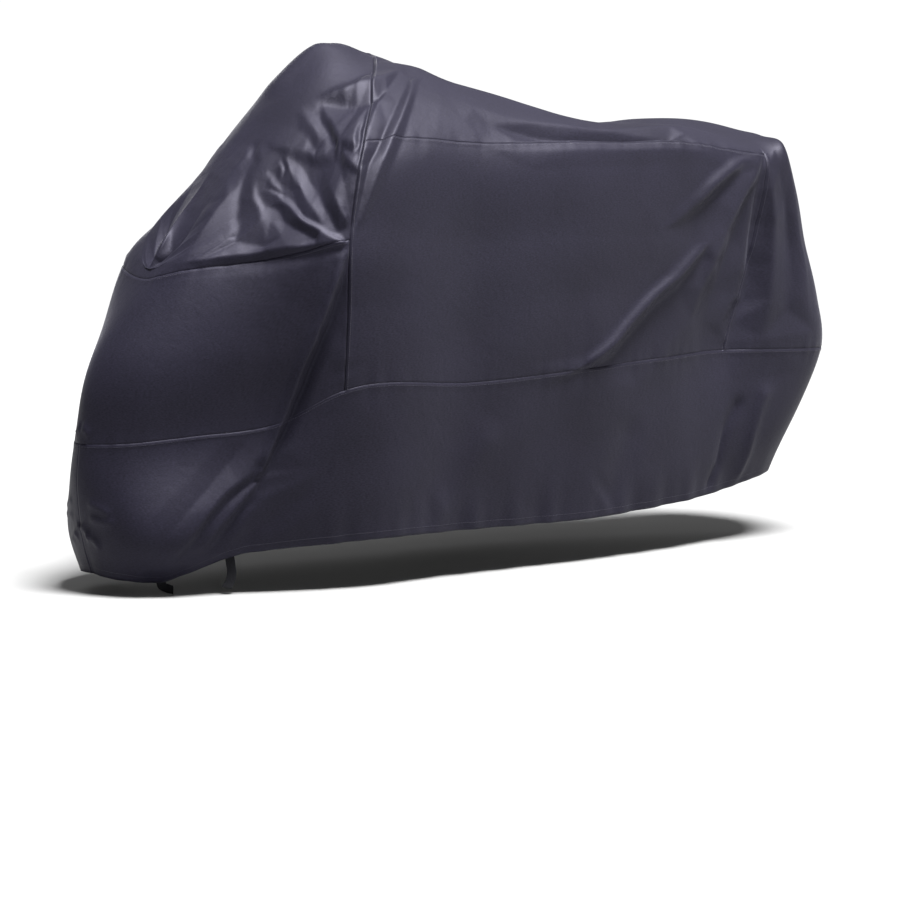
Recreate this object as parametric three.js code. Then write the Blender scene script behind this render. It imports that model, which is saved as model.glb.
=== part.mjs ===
import * as THREE from "three";

// A fitted motorcycle cover of thin coated polyester, as it hangs: hollow, open underneath,
// held up under its top. Millimetres, +Z up, nose towards -X, the near side towards -Y.
// The tables are measured from a plumb line below the bars and moved to the middle at the end.
const MIDDLE = { x: 198, y: 0, z: -14 };

// Cloth thickness, the play left at each seam line, and the height of the gathered hem band.
const SHEET = 2;
const SEAM_PLAY = 0.2;
const HEM_BAND = 75;

const CLOTH = { color: 0x3a3845, roughness: 0.55, metalness: 0 };
const WEBBING = { color: 0x17171b, roughness: 0.85, metalness: 0 };

// One rib for each section round the cover, from the nose line back to the rear line.
// A point is [x, half width, z]; only the ridge gives a true y, since it leans to the far side.
// tuck is how far the cloth stands out above its gathered hem, belly how far it bulges
// halfway between the skirt seam and the nose seam. farNose and farTop are for the far side
// where it differs from the near one.
const RIBS = [
  {
    hem: [-862, 0, 30], tuck: 20, skirt: [-892, 0, 345], belly: 48,
    nose: [-712, 0, 731], top: [-696, 0, 755], crown: [-680, 0, 780], ridge: [-660, 0, 810],
  },
  {
    hem: [-838, 98, 22], tuck: 25, skirt: [-830, 105, 350], belly: 30,
    nose: [-662, 112, 757], top: [-610, 95, 825], crown: [-600, 50, 865], ridge: [-540, 40, 915],
    farNose: [-680, 150, 752], farTop: [-602, 125, 846],
  },
  {
    hem: [-748, 150, 18], tuck: 50, skirt: [-680, 185, 366], belly: 30,
    nose: [-536, 200, 775], top: [-445, 165, 925], crown: [-445, 80, 985], ridge: [-416, 75, 1037],
  },
  {
    hem: [-590, 235, 80], tuck: 20, skirt: [-514, 265, 390], belly: 15,
    nose: [-446, 285, 800], top: [-370, 228, 965], crown: [-270, 105, 1115], ridge: [-135, 125, 1267],
  },
  {
    hem: [-360, 325, 100], tuck: 10, skirt: [-366, 350, 470], belly: 5,
    nose: [-350, 350, 829], top: [-262, 275, 1056], crown: [-140, 130, 1170], ridge: [34, 150, 1252],
  },
  {
    hem: [0, 315, 100], tuck: 8, skirt: [20, 345, 466], belly: 6,
    nose: [30, 335, 800], top: [85, 275, 1044], crown: [130, 140, 1150], ridge: [228, 86, 1151],
  },
  {
    hem: [380, 300, 95], tuck: 8, skirt: [380, 330, 478], belly: 6,
    nose: [400, 325, 800], top: [450, 270, 1033], crown: [490, 140, 1074], ridge: [582, 10, 1047],
  },
  {
    hem: [660, 270, 105], tuck: 10, skirt: [650, 290, 487], belly: 4,
    nose: [700, 290, 780], top: [760, 240, 1023], crown: [790, 120, 1060], ridge: [796, 0, 1076],
  },
  {
    hem: [870, 225, 120], tuck: 15, skirt: [877, 240, 488], belly: 0,
    nose: [980, 235, 750], top: [1035, 200, 985], crown: [1035, 100, 1030], ridge: [1010, 0, 1057],
  },
  {
    hem: [1094, 160, 154], tuck: 35, skirt: [1215, 215, 475], belly: 8,
    nose: [1185, 200, 730], top: [1131, 165, 1002], crown: [1140, 80, 1008], ridge: [1170, 0, 1012],
  },
  {
    hem: [1142, 0, 165], tuck: 70, skirt: [1290, 0, 470], belly: 20,
    nose: [1255, 0, 700], top: [1200, 0, 930], crown: [1190, 0, 960], ridge: [1170, 0, 985],
  },
];

// The places on a rib, counted from the near hem over the ridge to the far hem.
const HEM = 0;
const SKIRT = 2;
const NOSE = 4;
const TOP = 5;
const RIDGE = 7;
const FAR = 2 * RIDGE;

// The ribs that carry a seam, and the rear line.
const CROSS_SEAM = 4;
const REAR_SEAM = 8;
const LAST_RIB = RIBS.length - 1;

// How far the far crown stands out past the chord between its neighbours, in full where the
// ridge leans over by RIDGE_LEAN or more.
const FAR_CROWN_SWELL = 20;
const RIDGE_LEAN = 100;

// Cells between neighbouring ribs, and between neighbouring places from hem to ridge.
const COLUMNS = [3, 4, 4, 4, 7, 7, 6, 6, 5, 3];
const ROWS = [1, 6, 4, 5, 5, 4, 3];

// The main folds. path holds [rib, place] pairs along the crest or trough, width is the half
// width at its two ends, height is positive for a ridge and negative for a trough. A fold that
// is open at an end keeps its height there; both means that the far side has one like it.
const FOLDS = [
  {
    height: 30, width: [32, 45], open: true, both: true,
    path: [[4.0, 3.96], [3.6, 3.06], [3.28, 2.32], [3.06, 1.54], [2.6, 0.28]],
  },
  {
    height: -26, width: [30, 45], both: true,
    path: [[4.02, 3.72], [3.8, 3.02], [3.52, 2.16], [3.3, 1.66], [3.15, 1.0]],
  },
  {
    height: -34, width: [45, 38],
    path: [[2.48, 6.62], [1.96, 6.6], [1.06, 6.5], [0.3, 5.8]],
  },
  {
    height: 12, width: [40, 30],
    path: [[2.3, 6.2], [1.72, 5.9], [1.12, 5.5], [0.5, 4.9]],
  },
  {
    height: 16, width: [32, 30],
    path: [[4.44, 6.34], [3.98, 6.2], [3.32, 6.3], [3.02, 6.46]],
  },
  {
    height: -30, width: [30, 28],
    path: [[4.34, 6.1], [4.04, 5.85], [3.54, 5.9], [3.06, 6.1]],
  },
  {
    height: -16, width: [28, 28], both: true,
    path: [[2.84, 6.2], [2.98, 5.9], [3.3, 5.45], [3.6, 5.0]],
  },
  {
    height: -22, width: [28, 34], both: true,
    path: [[4.54, 6.2], [4.3, 5.7], [4.2, 5.16], [4.1, 4.8], [4.0, 4.2]],
  },
  {
    height: 12, width: [28, 40], both: true,
    path: [[4.66, 6.2], [4.5, 5.5], [4.42, 4.9], [4.28, 4.3]],
  },
  {
    height: -14, width: [30, 40], both: true,
    path: [[4.72, 6.3], [4.9, 5.9], [5.06, 5.4], [5.2, 4.9]],
  },
  {
    height: 20, width: [26, 45], both: true,
    path: [[3.94, 3.98], [3.3, 4.22], [2.46, 4.7], [1.74, 5.3]],
  },
  {
    height: 16, width: [26, 34], both: true,
    path: [[3.94, 4.2], [3.62, 4.44], [3.3, 4.84], [2.96, 5.28]],
  },
  {
    height: -16, width: [26, 36], both: true,
    path: [[3.88, 4.08], [3.46, 4.32], [3.0, 4.55], [2.4, 4.9]],
  },
  {
    height: 16, width: [34, 60], both: true,
    path: [[7.68, 4.9], [7.34, 4.6], [7.02, 4.2], [6.56, 2.84], [6.12, 2.1]],
  },
  {
    height: -20, width: [30, 40], both: true,
    path: [[7.9, 4.88], [7.98, 4.28], [8.04, 3.62], [8.04, 2.56], [8.0, 2.05]],
  },
  {
    height: 16, width: [30, 60], both: true,
    path: [[7.98, 4.86], [8.2, 4.12], [8.3, 3.0], [8.28, 2.14], [8.26, 1.2]],
  },
  {
    height: -14, width: [28, 45], both: true,
    path: [[8.12, 4.84], [8.36, 4.28], [8.5, 3.3], [8.6, 1.86]],
  },
  {
    height: -30, width: [36, 36],
    path: [[5.2, 5.6], [5.72, 5.5], [6.26, 5.4], [6.95, 5.35]],
  },
  {
    height: -12, width: [40, 36], open: true, both: true,
    path: [[7.78, 0.0], [7.98, 1.1], [8.18, 1.5]],
  },
  {
    height: 12, width: [40, 36], open: true, both: true,
    path: [[8.28, 0.0], [8.38, 1.1], [8.44, 1.6]],
  },
];

// The ties: webbing ends stitched inside the front hem. column and row name the hem cell that
// each is stitched in, along says where in that cell, and steps are moves [x, y, z] from the
// hem edge to the cut end.
const TIE = { width: 22, thickness: 1.6, stitched: 24, clearance: 0.3 };
const TIES = [
  { name: "tie_short", column: 6, along: 0.3, steps: [[2, 0, -8], [14, -4, -9], [16, -6, -5]] },
  {
    name: "tie_long", column: 10, along: 0.5,
    steps: [[2, 0, -14], [2, -2, -22], [-6, -2, -22], [-12, 0, -18]],
  },
];

const smooth = (t) => t * t * (3 - 2 * t);
const clamp = (t, low, high) => Math.min(high, Math.max(low, t));

// The horizontal direction that points out of the cover at a rib, for the near half.
function outward(rib) {
  if (rib === 0) return new THREE.Vector3(-1, 0, 0);
  if (rib === LAST_RIB) return new THREE.Vector3(1, 0, 0);
  const before = RIBS[rib - 1].skirt;
  const after = RIBS[rib + 1].skirt;
  const out = new THREE.Vector3(-(after[1] - before[1]), after[0] - before[0], 0);
  return out.normalize();
}

// All places of one rib as points: near hem, up, the ridge, and down to the far hem.
function ribPoints(rib) {
  const row = RIBS[rib];
  const at = (name) => new THREE.Vector3(...row[name]);
  const out = outward(rib);
  const low = at("hem").addScaledVector(out, row.tuck);
  low.z += HEM_BAND;
  const middle = at("skirt").lerp(at("nose"), 0.5).addScaledVector(out, row.belly);
  const half = [at("hem"), low, at("skirt"), middle, at("nose"), at("top"), at("crown")];
  const near = half.map((p) => new THREE.Vector3(p.x, -p.y, p.z));
  const far = half.map((p) => p.clone());
  const ridge = at("ridge");
  if (row.farNose) far[NOSE].set(...row.farNose);
  if (row.farTop) far[TOP].set(...row.farTop);
  if (ridge.y > 0) {
    const swell = FAR_CROWN_SWELL * Math.min(1, ridge.y / RIDGE_LEAN);
    far[RIDGE - 1] = far[TOP].clone().lerp(ridge, 0.5);
    far[RIDGE - 1].y += swell;
    far[RIDGE - 1].z += swell;
  }
  return [...near, ridge, ...far.reverse()];
}

const NET = RIBS.map((_, rib) => ribPoints(rib));

// Knots from the mean distance between neighbouring ribs and between neighbouring places.
function knots(count, gap) {
  const list = [0];
  for (let i = 1; i < count; i += 1) list.push(list[i - 1] + gap(i));
  return list;
}
const mean = (list) => list.reduce((sum, value) => sum + value, 0) / list.length;
const RIB_KNOTS = knots(RIBS.length, (i) =>
  mean(NET[i].slice(0, RIDGE + 1).map((p, j) => p.distanceTo(NET[i - 1][j]))));
const PLACE_KNOTS = knots(FAR + 1, (j) => {
  const k = j <= RIDGE ? j : FAR + 1 - j;
  return mean(NET.map((points) => points[k].distanceTo(points[k - 1])));
});

// A smooth curve through points at uneven knots, with one spare point at each end.
function curveAt(points, marks, t) {
  let i = 1;
  while (i < marks.length - 3 && t >= marks[i + 1]) i += 1;
  const slope = (k) => {
    const back = marks[k] - marks[k - 1];
    const ahead = marks[k + 1] - marks[k];
    const a = points[k].clone().sub(points[k - 1]).multiplyScalar(ahead / back);
    const b = points[k + 1].clone().sub(points[k]).multiplyScalar(back / ahead);
    return a.add(b).multiplyScalar(1 / (back + ahead));
  };
  const span = marks[i + 1] - marks[i];
  const s = (t - marks[i]) / span;
  const s2 = s * s;
  const s3 = s2 * s;
  return points[i].clone().multiplyScalar(2 * s3 - 3 * s2 + 1)
    .addScaledVector(slope(i), (s3 - 2 * s2 + s) * span)
    .addScaledVector(points[i + 1], -2 * s3 + 3 * s2)
    .addScaledVector(slope(i + 1), (s3 - s2) * span);
}

const between = (list, t) => {
  const i = clamp(Math.floor(t), 0, list.length - 2);
  return list[i] + (list[i + 1] - list[i]) * (t - i);
};

// The unfolded form at a rib and place that may lie between the given ones. Past the nose
// line or the rear line the surface goes on down its other half.
function form(rib, place) {
  if (rib < 0) return form(-rib, FAR - place);
  if (rib > LAST_RIB) return form(2 * LAST_RIB - rib, FAR - place);
  const ribMarks = [-RIB_KNOTS[1], ...RIB_KNOTS, 2 * RIB_KNOTS[LAST_RIB] - RIB_KNOTS[LAST_RIB - 1]];
  const t = between(RIB_KNOTS, rib);
  const section = NET[0].map((_, j) => {
    const line = NET.map((points) => points[j]);
    const first = NET[1][FAR - j];
    const last = NET[LAST_RIB - 1][FAR - j];
    return curveAt([first, ...line, last], ribMarks, t);
  });
  const under = section[0].clone().multiplyScalar(2).sub(section[1]);
  const beyond = section[FAR].clone().multiplyScalar(2).sub(section[FAR - 1]);
  const placeMarks = [-PLACE_KNOTS[1], ...PLACE_KNOTS, 2 * PLACE_KNOTS[FAR] - PLACE_KNOTS[FAR - 1]];
  return curveAt([under, ...section, beyond], placeMarks, between(PLACE_KNOTS, place));
}

// Each fold as a row of points in space, with the mirrored ones added.
const CREST_STEPS = 16;
function crest(fold, farSide) {
  const path = new THREE.CatmullRomCurve3(
    fold.path.map(([rib, place]) => new THREE.Vector3(rib, farSide ? FAR - place : place, 0)));
  const points = path.getPoints(CREST_STEPS).map((p) => form(p.x, p.y));
  return { ...fold, points };
}
const FAR_FOLD_SHARE = 0.8;
const CRESTS = [
  ...FOLDS.map((fold) => crest(fold, false)),
  ...FOLDS.filter((fold) => fold.both)
    .map((fold) => crest({ ...fold, height: fold.height * FAR_FOLD_SHARE }, true)),
];

// How far the folds lift the cloth off the unfolded form at a point.
const FADE = 0.22;
const REACH = 3;
function lift(point) {
  const nearest = new THREE.Vector3();
  const stretch = new THREE.Line3();
  let sum = 0;
  for (const fold of CRESTS) {
    let best = Infinity;
    let along = 0;
    for (let i = 0; i < CREST_STEPS; i += 1) {
      stretch.set(fold.points[i], fold.points[i + 1]);
      const share = stretch.closestPointToPointParameter(point, true);
      stretch.at(share, nearest);
      const distance = nearest.distanceTo(point);
      if (distance < best) {
        best = distance;
        along = (i + share) / CREST_STEPS;
      }
    }
    const width = fold.width[0] + (fold.width[1] - fold.width[0]) * along;
    if (best > REACH * width) continue;
    const start = smooth(clamp(along / FADE, 0, 1));
    const end = fold.open ? 1 : smooth(clamp((1 - along) / FADE, 0, 1));
    sum += fold.height * start * end * Math.exp(-((best / width) ** 2));
  }
  return sum;
}

// Outward direction of the unfolded form.
const NUDGE = 0.03;
function facing(rib, place) {
  const along = form(rib + NUDGE, place).sub(form(rib - NUDGE, place));
  const up = form(rib, place + NUDGE).sub(form(rib, place - NUDGE));
  return along.cross(up).normalize();
}

// Lines of the grid that all panels share, so that neighbours meet edge to edge.
function gridLines(cells) {
  const lines = [];
  cells.forEach((count, step) => {
    for (let i = 0; i < count; i += 1) lines.push(step + i / count);
  });
  return [...lines, cells.length];
}
const RIB_LINES = gridLines(COLUMNS);
const PLACE_LINES = gridLines([...ROWS, ...[...ROWS].reverse()]);
const LAST_COLUMN = RIB_LINES.length - 1;
const LAST_ROW = PLACE_LINES.length - 1;
const columnOf = (rib) => RIB_LINES.indexOf(rib);
const rowOf = (place) => PLACE_LINES.indexOf(place);

// On the nose line and the rear line the two halves share their points.
function pointKey(column, row) {
  const shared = column === 0 || column === LAST_COLUMN;
  return column * (LAST_ROW + 1) + (shared ? Math.min(row, LAST_ROW - row) : row);
}

const places = new Map();
const facings = new Map();
for (let column = 0; column <= LAST_COLUMN; column += 1) {
  for (let row = 0; row <= LAST_ROW; row += 1) {
    const key = pointKey(column, row);
    if (places.has(key)) continue;
    const rib = RIB_LINES[column];
    const place = PLACE_LINES[row];
    const point = form(rib, place);
    point.addScaledVector(facing(rib, place), lift(point));
    places.set(key, point.sub(MIDDLE));
    facings.set(key, new THREE.Vector3());
  }
}

// Two triangles for the cell whose lower front corner is given, facing out.
function cellTriangles(column, row) {
  const a = pointKey(column, row);
  const b = pointKey(column + 1, row);
  const c = pointKey(column + 1, row + 1);
  const d = pointKey(column, row + 1);
  return [[a, b, c], [a, c, d]].filter(([p, q, r]) => p !== q && q !== r && p !== r);
}

// Mean outward direction at each grid point, from the cells round it.
for (let column = 0; column < LAST_COLUMN; column += 1) {
  for (let row = 0; row < LAST_ROW; row += 1) {
    for (const [p, q, r] of cellTriangles(column, row)) {
      const edge = places.get(q).clone().sub(places.get(p));
      const area = edge.cross(places.get(r).clone().sub(places.get(p)));
      for (const key of [p, q, r]) facings.get(key).add(area);
    }
  }
}
facings.forEach((direction) => direction.normalize());

// A cloth panel: its cells as a sheet with an outer face, an inner face and a rim. Points on
// its edge are drawn in by the play that is left at the seam.
function panelGeometry(blocks) {
  const triangles = [];
  for (const [fromRib, toRib, fromPlace, toPlace] of blocks) {
    for (let column = columnOf(fromRib); column < columnOf(toRib); column += 1) {
      for (let row = rowOf(fromPlace); row < rowOf(toPlace); row += 1) {
        triangles.push(...cellTriangles(column, row));
      }
    }
  }
  const edges = new Map();
  for (const [p, q, r] of triangles) {
    for (const [from, to] of [[p, q], [q, r], [r, p]]) {
      if (edges.has(`${to},${from}`)) edges.delete(`${to},${from}`);
      else edges.set(`${from},${to}`, [from, to]);
    }
  }
  const rim = [...edges.values()];
  const onRim = new Set(rim.flat());
  const inward = new Map([...onRim].map((key) => [key, new THREE.Vector3()]));
  for (const [from, to] of rim) {
    const edge = places.get(to).clone().sub(places.get(from)).normalize();
    for (const key of [from, to]) inward.get(key).add(facings.get(key).clone().cross(edge));
  }
  const index = new Map();
  const points = [];
  const face = (key, side) => {
    const name = `${key}:${side}`;
    if (!index.has(name)) {
      const point = places.get(key).clone();
      if (onRim.has(key)) point.addScaledVector(inward.get(key).normalize(), SEAM_PLAY);
      point.addScaledVector(facings.get(key), (side * SHEET) / 2);
      index.set(name, points.length / 3);
      points.push(point.x, point.y, point.z);
    }
    return index.get(name);
  };
  const faces = [];
  for (const [p, q, r] of triangles) {
    faces.push(face(p, 1), face(q, 1), face(r, 1));
    faces.push(face(p, -1), face(r, -1), face(q, -1));
  }
  // Neighbouring rims are split along the same diagonal, so they stay parallel.
  for (const [from, to] of rim) {
    const corners = [face(from, 1), face(from, -1), face(to, -1), face(to, 1)];
    const [a, b, c, d] = from < to ? corners : [...corners.slice(1), corners[0]];
    faces.push(a, b, c, a, c, d);
  }
  return meshOf(points, faces);
}

function meshOf(points, faces) {
  const geometry = new THREE.BufferGeometry();
  geometry.setAttribute("position", new THREE.Float32BufferAttribute(points, 3));
  geometry.setIndex(faces);
  geometry.computeVertexNormals();
  return geometry;
}

// A webbing end: flat against the inner face of the hem cell, then hanging free below it.
function tieGeometry({ column, along, steps }) {
  const inner = (c, r) => {
    const key = pointKey(c, r);
    return places.get(key).clone().addScaledVector(facings.get(key), -SHEET / 2);
  };
  const start = inner(column, 0);
  const end = inner(column + 1, 0);
  const above = inner(column + 1, 1);
  const run = end.clone().sub(start).normalize();
  const out = run.clone().cross(above.clone().sub(end)).normalize();
  const up = out.clone().cross(run).normalize();
  const centre = start.clone().lerp(end, 1 - along)
    .addScaledVector(out, -(TIE.clearance + TIE.thickness / 2));
  const line = [centre.clone().addScaledVector(up, TIE.stitched), centre.clone()];
  steps.forEach((step) => line.push(line.at(-1).clone().add(new THREE.Vector3(...step))));
  const points = [];
  line.forEach((point, i) => {
    const before = line[Math.max(0, i - 1)];
    const after = line[Math.min(line.length - 1, i + 1)];
    const way = after.clone().sub(before).normalize();
    const thick = way.clone().cross(run).normalize();
    const wide = thick.clone().cross(way).normalize();
    for (const [across, deep] of [[-1, -1], [1, -1], [1, 1], [-1, 1]]) {
      const corner = point.clone()
        .addScaledVector(wide, (across * TIE.width) / 2)
        .addScaledVector(thick, (deep * TIE.thickness) / 2);
      points.push(corner.x, corner.y, corner.z);
    }
  });
  const faces = [0, 2, 1, 0, 3, 2];
  for (let ring = 0; ring < line.length - 1; ring += 1) {
    for (let side = 0; side < 4; side += 1) {
      const a = 4 * ring + side;
      const b = 4 * ring + ((side + 1) % 4);
      faces.push(a, b + 4, a + 4, a, b, b + 4);
    }
  }
  const last = 4 * (line.length - 1);
  faces.push(last, last + 1, last + 2, last, last + 2, last + 3);
  return meshOf(points, faces);
}

// Each panel as blocks of the grid: [from rib, to rib, from place, to place].
const PANELS = [
  { name: "hood", blocks: [[0, CROSS_SEAM, NOSE, FAR - NOSE]] },
  {
    name: "front_shroud",
    blocks: [[0, CROSS_SEAM, SKIRT, NOSE], [0, CROSS_SEAM, FAR - NOSE, FAR - SKIRT]],
  },
  { name: "side_panel_left", blocks: [[CROSS_SEAM, REAR_SEAM, SKIRT, TOP]] },
  { name: "side_panel_right", blocks: [[CROSS_SEAM, REAR_SEAM, FAR - TOP, FAR - SKIRT]] },
  {
    name: "top_panel",
    blocks: [[CROSS_SEAM, REAR_SEAM, TOP, FAR - TOP], [REAR_SEAM, LAST_RIB, SKIRT, FAR - SKIRT]],
  },
  { name: "skirt_left", blocks: [[0, LAST_RIB, HEM, SKIRT]] },
  { name: "skirt_right", blocks: [[0, LAST_RIB, FAR - SKIRT, FAR]] },
];

const cover = new THREE.Group();

function add(name, geometry, finish) {
  const mesh = new THREE.Mesh(geometry, new THREE.MeshStandardMaterial(finish));
  mesh.name = name;
  cover.add(mesh);
}
PANELS.forEach(({ name, blocks }) => add(name, panelGeometry(blocks), CLOTH));
TIES.forEach((tie) => add(tie.name, tieGeometry(tie), WEBBING));

export default cover;
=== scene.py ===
import bpy
import numpy as np
from mathutils import Matrix, Vector
from mathutils.geometry import delaunay_2d_cdt, intersect_point_line


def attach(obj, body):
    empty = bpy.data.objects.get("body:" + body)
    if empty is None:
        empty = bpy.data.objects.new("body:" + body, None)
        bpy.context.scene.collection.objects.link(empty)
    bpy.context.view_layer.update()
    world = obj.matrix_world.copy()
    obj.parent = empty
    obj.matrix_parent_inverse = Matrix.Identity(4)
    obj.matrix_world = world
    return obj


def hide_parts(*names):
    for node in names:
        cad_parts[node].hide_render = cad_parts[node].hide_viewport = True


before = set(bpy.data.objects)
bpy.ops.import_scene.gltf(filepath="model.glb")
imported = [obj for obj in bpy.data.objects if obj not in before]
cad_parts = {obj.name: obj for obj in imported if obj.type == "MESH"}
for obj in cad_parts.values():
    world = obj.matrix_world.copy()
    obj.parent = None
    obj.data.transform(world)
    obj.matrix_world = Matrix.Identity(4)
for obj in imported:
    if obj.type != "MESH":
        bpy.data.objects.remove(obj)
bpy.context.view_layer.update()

# Cloth panels
# Seven panels of thin coated polyester taffeta, cut to the outline of a parked machine and
# sewn edge to edge into a hood. The cover is drawn over from above, hangs from bars, seat and
# tail, and is gathered at the hem by an elastic.

# The drape without its folds: one rib for each section round the cover, from the nose line
# back to the rear line, in metres from a plumb line below the bars. A point is (x, half width,
# z); only the ridge gives a true y, since it leans to the far side. tuck is how far the cloth
# stands out above its hem, belly how far it bulges between skirt seam and nose seam. far_nose
# and far_top are for the far side where it differs from the near one.
MIDDLE = np.array([0.198, 0.0, -0.014])
HEM_BAND = 0.075
RIBS = [
    dict(
        hem=(-0.862, 0, 0.030), tuck=0.020, skirt=(-0.892, 0, 0.345), belly=0.048,
        nose=(-0.712, 0, 0.731), top=(-0.696, 0, 0.755), crown=(-0.680, 0, 0.780),
        ridge=(-0.660, 0, 0.810),
    ),
    dict(
        hem=(-0.838, 0.098, 0.022), tuck=0.025, skirt=(-0.830, 0.105, 0.350), belly=0.030,
        nose=(-0.662, 0.112, 0.757), top=(-0.610, 0.095, 0.825), crown=(-0.600, 0.050, 0.865),
        ridge=(-0.540, 0.040, 0.915),
        far_nose=(-0.680, 0.150, 0.752), far_top=(-0.602, 0.125, 0.846),
    ),
    dict(
        hem=(-0.748, 0.150, 0.018), tuck=0.050, skirt=(-0.680, 0.185, 0.366), belly=0.030,
        nose=(-0.536, 0.200, 0.775), top=(-0.445, 0.165, 0.925), crown=(-0.445, 0.080, 0.985),
        ridge=(-0.416, 0.075, 1.037),
    ),
    dict(
        hem=(-0.590, 0.235, 0.080), tuck=0.020, skirt=(-0.514, 0.265, 0.390), belly=0.015,
        nose=(-0.446, 0.285, 0.800), top=(-0.370, 0.228, 0.965), crown=(-0.270, 0.105, 1.115),
        ridge=(-0.135, 0.125, 1.267),
    ),
    dict(
        hem=(-0.360, 0.325, 0.100), tuck=0.010, skirt=(-0.366, 0.350, 0.470), belly=0.005,
        nose=(-0.350, 0.350, 0.829), top=(-0.262, 0.275, 1.056), crown=(-0.140, 0.130, 1.170),
        ridge=(0.034, 0.150, 1.252),
    ),
    dict(
        hem=(0.000, 0.315, 0.100), tuck=0.008, skirt=(0.020, 0.345, 0.466), belly=0.006,
        nose=(0.030, 0.335, 0.800), top=(0.085, 0.275, 1.044), crown=(0.130, 0.140, 1.150),
        ridge=(0.228, 0.086, 1.151),
    ),
    dict(
        hem=(0.380, 0.300, 0.095), tuck=0.008, skirt=(0.380, 0.330, 0.478), belly=0.006,
        nose=(0.400, 0.325, 0.800), top=(0.450, 0.270, 1.033), crown=(0.490, 0.140, 1.074),
        ridge=(0.582, 0.010, 1.047),
    ),
    dict(
        hem=(0.660, 0.270, 0.105), tuck=0.010, skirt=(0.650, 0.290, 0.487), belly=0.004,
        nose=(0.700, 0.290, 0.780), top=(0.760, 0.240, 1.023), crown=(0.790, 0.120, 1.060),
        ridge=(0.796, 0, 1.076),
    ),
    dict(
        hem=(0.870, 0.225, 0.120), tuck=0.015, skirt=(0.877, 0.240, 0.488), belly=0,
        nose=(0.980, 0.235, 0.750), top=(1.035, 0.200, 0.985), crown=(1.035, 0.100, 1.030),
        ridge=(1.010, 0, 1.057),
    ),
    dict(
        hem=(1.094, 0.160, 0.154), tuck=0.035, skirt=(1.215, 0.215, 0.475), belly=0.008,
        nose=(1.185, 0.200, 0.730), top=(1.131, 0.165, 1.002), crown=(1.140, 0.080, 1.008),
        ridge=(1.170, 0, 1.012),
    ),
    dict(
        hem=(1.142, 0, 0.165), tuck=0.070, skirt=(1.290, 0, 0.470), belly=0.020,
        nose=(1.255, 0, 0.700), top=(1.200, 0, 0.930), crown=(1.190, 0, 0.960),
        ridge=(1.184, 0, 0.988),
    ),
]

# The places on a rib, counted from the near hem over the ridge to the far hem, and the ribs
# that carry a seam.
HEM, SKIRT, NOSE, TOP, RIDGE, FAR = 0, 2, 4, 5, 7, 14
CROSS_SEAM, REAR_SEAM, LAST_RIB = 4, 8, 10

# How far the far crown stands out past the chord between its neighbours, in full where the
# ridge leans over by RIDGE_LEAN or more.
FAR_CROWN_SWELL = 0.020
RIDGE_LEAN = 0.100


def outward(rib):
    """The horizontal direction out of the cover at a rib, on the far side."""
    if rib == 0:
        return np.array([-1.0, 0, 0])
    if rib == LAST_RIB:
        return np.array([1.0, 0, 0])
    along = np.subtract(RIBS[rib + 1]["skirt"], RIBS[rib - 1]["skirt"])
    out = np.array([-along[1], along[0], 0])
    return out / np.linalg.norm(out)


def rib_points(rib):
    """The 15 places of a rib: near hem, up, the ridge, and down to the far hem."""
    row = {name: np.array(value, float) for name, value in RIBS[rib].items()}
    out = outward(rib)
    low = row["hem"] + out * row["tuck"] + [0, 0, HEM_BAND]
    middle = (row["skirt"] + row["nose"]) / 2 + out * row["belly"]
    half = [row["hem"], low, row["skirt"], middle, row["nose"], row["top"], row["crown"]]
    near = [point * [1, -1, 1] for point in half]
    far = list(half)
    far[NOSE] = row.get("far_nose", far[NOSE])
    far[TOP] = row.get("far_top", far[TOP])
    if row["ridge"][1] > 0:
        swell = FAR_CROWN_SWELL * min(1, row["ridge"][1] / RIDGE_LEAN)
        far[RIDGE - 1] = (far[TOP] + row["ridge"]) / 2 + [0, swell, swell]
    return near + [row["ridge"]] + far[::-1]


NET = np.array([rib_points(rib) for rib in range(len(RIBS))]) - MIDDLE
rib_gaps = np.linalg.norm(np.diff(NET[:, : RIDGE + 1], axis=0), axis=2).mean(axis=1)
place_gaps = np.linalg.norm(np.diff(NET[:, : RIDGE + 1], axis=1), axis=2).mean(axis=0)
RIB_KNOTS = np.concatenate([[0], np.cumsum(rib_gaps)])
PLACE_KNOTS = np.concatenate([[0], np.cumsum([*place_gaps, *place_gaps[::-1]])])


def curve(points, knots, t):
    """Smooth curves through points at uneven knots, with one spare point at each end."""
    i = np.clip(np.searchsorted(knots, t, side="right") - 1, 1, len(knots) - 3)
    each = np.arange(len(t))

    def point(k):
        return points[k, each] if points.ndim == 3 else points[k]

    def slope(k):
        back = (knots[k] - knots[k - 1])[:, None]
        ahead = (knots[k + 1] - knots[k])[:, None]
        before = (point(k) - point(k - 1)) / back
        after = (point(k + 1) - point(k)) / ahead
        return (before * ahead + after * back) / (back + ahead)

    span = (knots[i + 1] - knots[i])[:, None]
    s = (t - knots[i])[:, None] / span
    return (
        (2 * s**3 - 3 * s**2 + 1) * point(i)
        + (s**3 - 2 * s**2 + s) * span * slope(i)
        + (3 * s**2 - 2 * s**3) * point(i + 1)
        + (s**3 - s**2) * span * slope(i + 1)
    )


def mirrored_knots(knots):
    """The knots with a spare one at each end."""
    return np.concatenate([[-knots[1]], knots, [2 * knots[-1] - knots[-2]]])


def rib_length(rib):
    """How far a rib lies from the nose line, as a mean over the cloth."""
    return np.interp(rib, np.arange(len(RIBS)), RIB_KNOTS)


def place_length(place):
    """How far a place lies from the near hem, as a mean over the cloth."""
    return np.interp(place, np.arange(FAR + 1), PLACE_KNOTS)


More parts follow.
